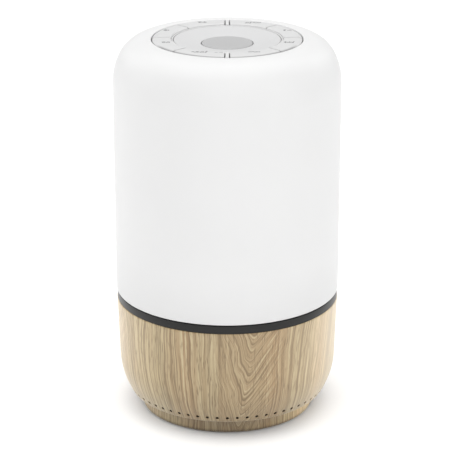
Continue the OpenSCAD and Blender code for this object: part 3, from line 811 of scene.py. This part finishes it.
def make_frame():
    """The plate under the keys with its rail, its two ribs and the posts that carry the control board."""
    low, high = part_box("panel_frame")
    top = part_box("key_1")[1].z
    plate_top = top - 5.3 * MM
    plate_foot = plate_top - 1.6 * MM
    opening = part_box("centre_button")[1].x + 0.5 * MM
    plate = revolve(rounded([
        (opening, plate_foot, 0), (high.x, plate_foot, 0.2 * MM), (high.x, plate_top, 0.2 * MM),
        (opening, plate_top, 0.3 * MM)], 3), 200)
    piece = finish_piece("key_frame", plate, WHITE_PLASTIC, "housing", ["panel_frame"])
    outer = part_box("key_1")[1].x
    stems = around([KEY_STEP * (i + 0.5) for i in range(8)], outer - 4.6 * MM)
    cutter = bores(stems, 2.4 * MM, plate_foot - MM, plate_top + MM)
    bores(around(DIAGONALS, 38.5 * MM), 1.15 * MM, plate_foot - MM, plate_top + MM, cutter, 24)
    carve(piece, cutter)

    rail_out = outer - 9.35 * MM
    rail_in = rail_out - 0.65 * MM
    rail_top = top - 0.8 * MM
    rail = revolve(rounded([
        (rail_in, plate_top - 0.3 * MM, 0), (rail_out, plate_top - 0.3 * MM, 0),
        (rail_out, rail_top, 0.16 * MM), (rail_in, rail_top, 0.16 * MM)], 4))
    for place in around(DIAGONALS, 20 * MM):
        revolve(rounded([
            (1.0 * MM, low.z, 0.1 * MM), (2.5 * MM, low.z, 0.2 * MM),
            (2.5 * MM, plate_foot + 0.2 * MM, 0), (1.0 * MM, plate_foot + 0.2 * MM, 0)], 3), 40, place, rail)
    start, end = (rail_in + rail_out) / 2, outer - 0.05 * MM
    foot = plate_top - 0.3 * MM
    section = rounded([
        (-RIB_HALF, foot, 0), (RIB_HALF, foot, 0),
        (RIB_HALF, high.z, 0.25 * MM), (-RIB_HALF, high.z, 0.25 * MM)], 4)
    for side in (1, -1):
        loops = []
        for k in range(13):
            reach = start + (end - start) * k / 12
            loops.append([(x, side * reach, z) for x, z in section])
        loft_loops(rail, loops)
    return finish_piece("key_rail_and_ribs", rail, WHITE_PLASTIC, "housing")


# ---- underside ----

def make_cover():
    low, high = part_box("bottom_cover")
    radius, foot = high.x, low.z
    top = foot + 2.4 * MM
    groove = 0.35 * MM
    outline = [(0, foot + 0.25 * MM), (9.6 * MM, foot + 0.25 * MM), (10 * MM, foot)]
    for at in (13.0, 15.4, 17.8, 20.2):
        outline += [(at * MM, foot), ((at + 0.2) * MM, foot + groove),
                    ((at + 1.0) * MM, foot + groove), ((at + 1.2) * MM, foot)]
    outline += [(radius - 0.4 * MM, foot), (radius, foot + 0.4 * MM), (radius, top - 0.3 * MM),
                (radius - 0.3 * MM, top), (0, top)]
    piece = finish_piece("cover", revolve(outline, 200), DARK_PLASTIC, "housing",
                         ["bottom_cover"])
    cutter = bores(around(DIAGONALS, POST_AT), 3 * MM, foot - MM, top + MM)
    bores(around(AXES, POST_AT), 5.7 * MM, foot - MM, 2.2 * MM, cutter, 64)
    carve(piece, cutter)
    posts = bmesh.new()
    head_seat = top + 1.8 * MM
    for place in around(DIAGONALS, POST_AT):
        revolve([(3 * MM, top - 0.1 * MM), (4.5 * MM, top - 0.1 * MM), (4.5 * MM, high.z - 0.3 * MM),
                 (4.2 * MM, high.z), (1.65 * MM, high.z), (1.65 * MM, head_seat), (3 * MM, head_seat)],
                48, place, posts)
    return finish_piece("cover_posts", posts, DARK_PLASTIC, "housing")


def make_pads():
    low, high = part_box("rubber_feet")
    foot, top = low.z, high.z
    radius = 5.5 * MM
    outline = [(0, foot + 0.12 * MM), (1.0 * MM, foot + 0.12 * MM), (1.15 * MM, foot)]
    for at in (2.0, 3.0, 4.0):
        outline += [(at * MM, foot), ((at + 0.15) * MM, foot + 0.12 * MM),
                    ((at + 0.35) * MM, foot + 0.12 * MM), ((at + 0.5) * MM, foot)]
    outline += arc((radius - 0.5 * MM, foot + 0.5 * MM), 0.5 * MM, -90, 0, 5)
    outline += [(radius, top - 0.3 * MM), (radius - 0.3 * MM, top), (0, top)]
    mesh = bmesh.new()
    for place in around(AXES, POST_AT):
        revolve(outline, 72, place, mesh)
    return finish_piece("pads", mesh, RUBBER, "housing", ["rubber_feet"])


def add_screw(mesh, place, seat, length, steps=40):
    """A pan-head screw driven upwards, with a four-lobed recess and a ridged shank."""
    shank, head, depth = 1.45 * MM, 2.7 * MM, 2 * MM

    def circle(radius, z):
        return [(place[0] + radius * math.cos(2 * math.pi * k / steps),
                 place[1] + radius * math.sin(2 * math.pi * k / steps), z) for k in range(steps)]

    def cross(radius, z):
        points = []
        for k in range(steps):
            a = 2 * math.pi * k / steps
            reach = radius * (0.34 + 0.66 * abs(math.cos(2 * a)) ** 5)
            points.append((place[0] + reach * math.cos(a), place[1] + reach * math.sin(a), z))
        return points

    face = seat - depth
    loops = [cross(0.9 * MM, face + 0.8 * MM), cross(1.2 * MM, face + 0.1 * MM), cross(1.32 * MM, face)]
    loops += [circle(1.9 * MM, face + 0.02 * MM), circle(2.3 * MM, face + 0.2 * MM),
              circle(2.58 * MM, face + 0.6 * MM), circle(head, face + 1.2 * MM),
              circle(head, seat - 0.1 * MM), circle(head - 0.1 * MM, seat), circle(shank, seat)]
    turns = int((length - 2 * MM) / (0.5 * MM))
    for i in range(turns):
        z = seat + 0.6 * MM + i * 0.5 * MM
        loops += [circle(shank - 0.22 * MM, z), circle(shank, z + 0.2 * MM), circle(shank, z + 0.3 * MM)]
    loops += [circle(shank - 0.3 * MM, seat + length - 1 * MM), circle(0.3 * MM, seat + length)]
    loft_loops(mesh, loops)


def make_screws():
    low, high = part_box("case_screws")
    mesh = bmesh.new()
    for place in around(DIAGONALS, POST_AT):
        add_screw(mesh, place, low.z + 2 * MM, 8.6 * MM)
    for place in around(DIAGONALS, 40 * MM):
        add_screw(mesh, place, high.z - 10 * MM, 10 * MM)
    return finish_piece("screws", mesh, STEEL, "housing", ["case_screws"], 40)


# ---- power inlet ----

def make_bezel():
    low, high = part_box("inlet_bezel")
    width, height = high.x - low.x, high.z - low.z
    back, front = low.y, high.y
    mouth = back + 1 * MM
    mesh = bmesh.new()
    loops = [inlet_loop(9.34 * MM, 3.7 * MM, 1.8 * MM, back), inlet_loop(width, height, 3 * MM, back)]
    for step in range(5):
        inset = 0.5 * MM * (1 - math.cos(math.radians(90 * step / 4)))
        y = front - 0.5 * MM + 0.5 * MM * math.sin(math.radians(90 * step / 4))
        loops.append(inlet_loop(width - 2 * inset, height - 2 * inset, 3 * MM - inset, y))
    for step in range(5):
        flare = 0.3 * MM * (1 - math.sin(math.radians(90 * step / 4)))
        y = front - 0.3 * MM * (1 - math.cos(math.radians(90 * step / 4)))
        mouth_width, mouth_height = width - 2.6 * MM + 2 * flare, height - 2 * MM + 2 * flare
        loops.append(inlet_loop(mouth_width, mouth_height, 2 * MM + flare, y))
    loops += [inlet_loop(width - 2.6 * MM, height - 2 * MM, 2 * MM, mouth + 0.2 * MM),
              inlet_loop(width - 2.9 * MM, height - 2.3 * MM, 1.85 * MM, mouth),
              inlet_loop(9.7 * MM, 4.06 * MM, 1.95 * MM, mouth),
              inlet_loop(9.34 * MM, 3.7 * MM, 1.8 * MM, mouth - 0.18 * MM)]
    rows = [[mesh.verts.new(p) for p in loop] for loop in loops]
    bridge(mesh, rows + rows[:1])
    return finish_piece("bezel", mesh, DARK_PLASTIC, "housing", ["inlet_bezel"])


def make_socket():
    low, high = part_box("usb_socket")
    width, height = high.x - low.x, high.z - low.z
    back, front = low.y, high.y
    middle = (low.z + high.z) / 2
    wall = 0.3 * MM
    mesh = bmesh.new()
    loft_loops(mesh, [
        inlet_loop(width - 0.3 * MM, height - 0.3 * MM, 1.45 * MM, back),
        inlet_loop(width, height, 1.6 * MM, back + 0.2 * MM),
        inlet_loop(width, height, 1.6 * MM, front - 0.12 * MM),
        inlet_loop(width - 0.1 * MM, height - 0.1 * MM, 1.55 * MM, front),
        inlet_loop(width - 2 * wall + 0.1 * MM, height - 2 * wall + 0.1 * MM, 1.35 * MM, front),
        inlet_loop(width - 2 * wall, height - 2 * wall, 1.3 * MM, front - 0.12 * MM),
        inlet_loop(width - 2 * wall, height - 2 * wall, 1.3 * MM, front - 6.2 * MM)])
    tongue_front = front - 1.1 * MM
    tongue = rounded_rectangle(6.7 * MM, 0.7 * MM, 0.15 * MM, 2)
    loft_loops(mesh, [[(x, front - 6.3 * MM, middle + z) for x, z in tongue],
                      [(x, tongue_front - 0.15 * MM, middle + z) for x, z in tongue],
                      [(x * 0.98, tongue_front, middle + z * 0.7) for x, z in tongue]])
    for side in (1, -1):
        for k in range(8):
            x = (k - 3.5) * 0.75 * MM
            strip = [(x - 0.14 * MM, 0.3 * MM), (x + 0.14 * MM, 0.3 * MM),
                     (x + 0.12 * MM, 0.4 * MM), (x - 0.12 * MM, 0.4 * MM)]
            loft_loops(mesh, [[(px, y, middle + side * pz) for px, pz in strip]
                              for y in (front - 6.2 * MM, tongue_front - 0.7 * MM)])
    return finish_piece("socket", mesh, STEEL, "housing", ["usb_socket"], 40)


# ---- generic key legends: small marks that read from the front, x to the right, y to the back ----

MARK_STRETCH = 1.35  # the marks are taller than wide, so that they read from a low view


def stroke_bar(x0, y0, x1, y1, width=0.5):
    """A straight stroke as an outline of four points."""
    along = Vector((x1 - x0, y1 - y0)).normalized() * width / 2
    across = Vector((-along.y, along.x))
    start, end = Vector((x0, y0)), Vector((x1, y1))
    return [tuple(p) for p in (start + across, start - across, end - across, end + across)]


def stroke_ring(x, y, radius, first=0, last=360, width=0.46, steps=24):
    """A round stroke from angle first to angle last, as a list of four-point outlines."""
    pieces = []
    for i in range(steps):
        a = math.radians(first + (last - first) * i / steps)
        b = math.radians(first + (last - first) * (i + 1) / steps)
        near, far = radius - width / 2, radius + width / 2
        pieces.append([(x + near * math.cos(a), y + near * math.sin(a)),
                       (x + far * math.cos(a), y + far * math.sin(a)),
                       (x + far * math.cos(b), y + far * math.sin(b)),
                       (x + near * math.cos(b), y + near * math.sin(b))])
    return pieces


def dot(x, y, radius, steps=18):
    return [(x + radius * math.cos(2 * math.pi * k / steps), y + radius * math.sin(2 * math.pi * k / steps))
            for k in range(steps)]


def icon_plus(x):
    return [stroke_bar(x - 0.8, 0, x + 0.8, 0), stroke_bar(x, -0.8, x, 0.8)]


def icon_minus(x):
    return [stroke_bar(x - 0.8, 0, x + 0.8, 0, 0.6)]


def icon_play(x):
    return [[(x - 0.7, -0.8), (x + 0.8, 0), (x - 0.7, 0.8)]]


def icon_bars(x):
    return [stroke_bar(x - 0.7, -0.8, x - 0.7, 0.1, 0.44), stroke_bar(x, -0.8, x, 0.8, 0.44),
            stroke_bar(x + 0.7, -0.8, x + 0.7, 0.45, 0.44)]


def icon_sun(x):
    rays = []
    for k in range(8):
        c, s = math.cos(k * math.pi / 4), math.sin(k * math.pi / 4)
        rays.append(stroke_bar(x + 0.66 * c, 0.66 * s, x + 1.0 * c, s, 0.28))
    return [dot(x, 0, 0.52)] + rays


def icon_moon(x):
    points = arc((x, 0), 0.88, 60, 300, 16)
    points += arc((x + 0.46, 0), 0.70, 275, 85, 12)
    return [points]


def icon_power(x):
    return stroke_ring(x, -0.1, 0.68, 120, 420, 0.36) + [stroke_bar(x, 0.1, x, 0.95, 0.36)]


def icon_note(x):
    return [dot(x - 0.35, -0.5, 0.42), stroke_bar(x - 0.05, -0.5, x - 0.05, 0.85, 0.3),
            stroke_bar(x - 0.05, 0.7, x + 0.65, 0.45, 0.42)]


def icon_clock(x):
    hands = [stroke_bar(x, 0, x, 0.5, 0.28), stroke_bar(x, 0, x + 0.36, 0, 0.28)]
    return stroke_ring(x, 0, 0.78, 0, 360, 0.34) + hands


def icon_wave(x):
    crest = stroke_ring(x - 0.45, -0.1, 0.45, 0, 180, 0.42, 10)
    return crest + stroke_ring(x + 0.45, 0.1, 0.45, 180, 360, 0.42, 10)


def icon_dots(x):
    return [dot(x - 0.7, 0, 0.34), dot(x, 0, 0.34), dot(x + 0.7, 0, 0.34)]


# key number: middle of the marks in millimetres, strong marks, faint marks
LEGENDS = {
    1: ((28.9, 13.6), icon_moon(-0.9) + icon_dots(1.1), []),
    2: ((12.5, 28.5), icon_bars(-2.9) + icon_note(-1.0) + icon_wave(1.0) + icon_dots(3.1), []),
    3: ((-12.3, 29.5), icon_sun(-1.1) + icon_bars(1.1), []),
    4: ((-29.3, 13.6), icon_clock(-0.5) + [dot(1.0, 0, 0.4)], []),
    5: ((-29.2, -9.2), icon_power(-0.8) + icon_bars(1.2), []),
    6: ((-12.7, -27.1), icon_wave(-2.8) + icon_play(-0.9) + icon_bars(1.0) + icon_note(3.0),
        [stroke_bar(6.9, -0.8, 8.3, -0.8), stroke_bar(8.9, -0.8, 10.7, -0.8)]),
    7: ((12.2, -27.0), icon_minus(-1.7) + icon_wave(0.2) + icon_dots(2.1), []),
    8: ((29.3, -9.2), icon_plus(-1.8) + icon_bars(0.1) + icon_note(2.0), []),
}


def make_legend(number, place, outlines, shade, material):
    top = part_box("key_1")[1].z
    mesh = bmesh.new()
    for outline in outlines:
        loops = []
        for z in (top - 0.3 * MM, top):
            loops.append([mesh.verts.new(((place[0] + x) * MM, (place[1] + y * MARK_STRETCH) * MM, z))
                          for x, y in outline])
        mesh.faces.new(loops[0])
        mesh.faces.new(loops[1])
        for k in range(len(outline)):
            n = (k + 1) % len(outline)
            mesh.faces.new((loops[0][k], loops[0][n], loops[1][n], loops[1][k]))
    return finish_piece(f"legend_{shade}_{number}", mesh, material, f"key_{number}")


make_dome()
make_band()
make_base()
make_plinth()
for key_index in range(8):
    make_key(key_index)
make_disc()
make_button()
make_frame()
make_cover()
make_pads()
make_screws()
make_bezel()
make_socket()
for number, (place, strong, faint) in LEGENDS.items():
    make_legend(number, place, strong, "dark", LEGEND_GREY)
    if faint:
        make_legend(number, place, faint, "pale", LEGEND_PALE)


# ---- floor, light and camera ----

def make_floor():
    g = Graph("studio_floor")
    grain = g.noise(g.object, 900, 2.0)
    g.set(Base_Color=g.ramp(grain, [(0.3, (0.97, 0.97, 0.97)), (0.7, (0.985, 0.985, 0.985))]),
          Roughness=0.6, Specular_IOR_Level=0.2)
    mesh = bmesh.new()
    half = 4.0
    corners = ((-half, -half, 0), (half, -half, 0), (half, half, 0), (-half, half, 0))
    mesh.faces.new([mesh.verts.new(corner) for corner in corners])
    floor = finish_piece("floor", mesh, g.material, None)


def soft_light(name, place, aim, width, height, power):
    data = bpy.data.lights.new(name, "AREA")
    data.shape = "RECTANGLE"
    data.size, data.size_y = width, height
    data.energy = power
    lamp = bpy.data.objects.new(name, data)
    lamp.location = place
    lamp.rotation_euler = (Vector(aim) - Vector(place)).to_track_quat("-Z", "Y").to_euler()
    bpy.context.scene.collection.objects.link(lamp)


make_floor()
# name: place, width, height, watts
LIGHTS = {
    "overhead": ((0, 0, 1.6), 1.8, 1.8, 18.0),
    "key": ((-0.9, -0.5, 1.5), 0.7, 0.7, 2.35),
    "left_side": ((-1.2, 0.1, 0.6), 0.9, 1.3, 2.2),
    "right_front": ((1.3, -0.9, 0.45), 0.8, 0.8, 3.8),
    "front": ((0, -1.9, 1.1), 1.6, 1.0, 10.4),
    "right_back": ((1.0, 0.8, 0.7), 0.8, 0.8, 2.6),
    "left_back": ((-1.0, 0.8, 0.7), 0.8, 0.8, 2.2),
}
middle = (0, 0, (CAD_BOX[0][2] + CAD_BOX[1][2]) / 2)
for light_name, (place, width, height, power) in LIGHTS.items():
    soft_light(light_name, place, middle, width, height, power)


def make_sky(horizon, zenith):
    """A white studio that grows brighter towards the ceiling."""
    world = bpy.data.worlds.new("studio")
    bpy.context.scene.world = world
    world.use_nodes = True
    tree = world.node_tree
    height = tree.nodes.new("ShaderNodeSeparateXYZ")
    tree.links.new(tree.nodes.new("ShaderNodeTexCoord").outputs["Generated"], height.inputs[0])
    level = tree.nodes.new("ShaderNodeMapRange")
    tree.links.new(height.outputs["Z"], level.inputs["Value"])
    level.inputs["To Min"].default_value = horizon
    level.inputs["To Max"].default_value = zenith
    background = tree.nodes["Background"]
    background.inputs["Color"].default_value = (1.0, 1.0, 1.0, 1.0)
    tree.links.new(level.outputs[0], background.inputs["Strength"])


make_sky(0.62, 0.72)

camera_data = bpy.data.cameras.new("camera")
camera_data.sensor_width = 36
camera_data.lens = 157.505
camera_data.clip_start = 0.05
camera = bpy.data.objects.new("camera", camera_data)
camera.location = (0.00061, -0.92729, 0.42704)
camera.rotation_euler = (math.radians(90 - 19.91), 0, 0)
bpy.context.scene.collection.objects.link(camera)
bpy.context.scene.camera = camera
bpy.context.scene.view_settings.view_transform = "Standard"
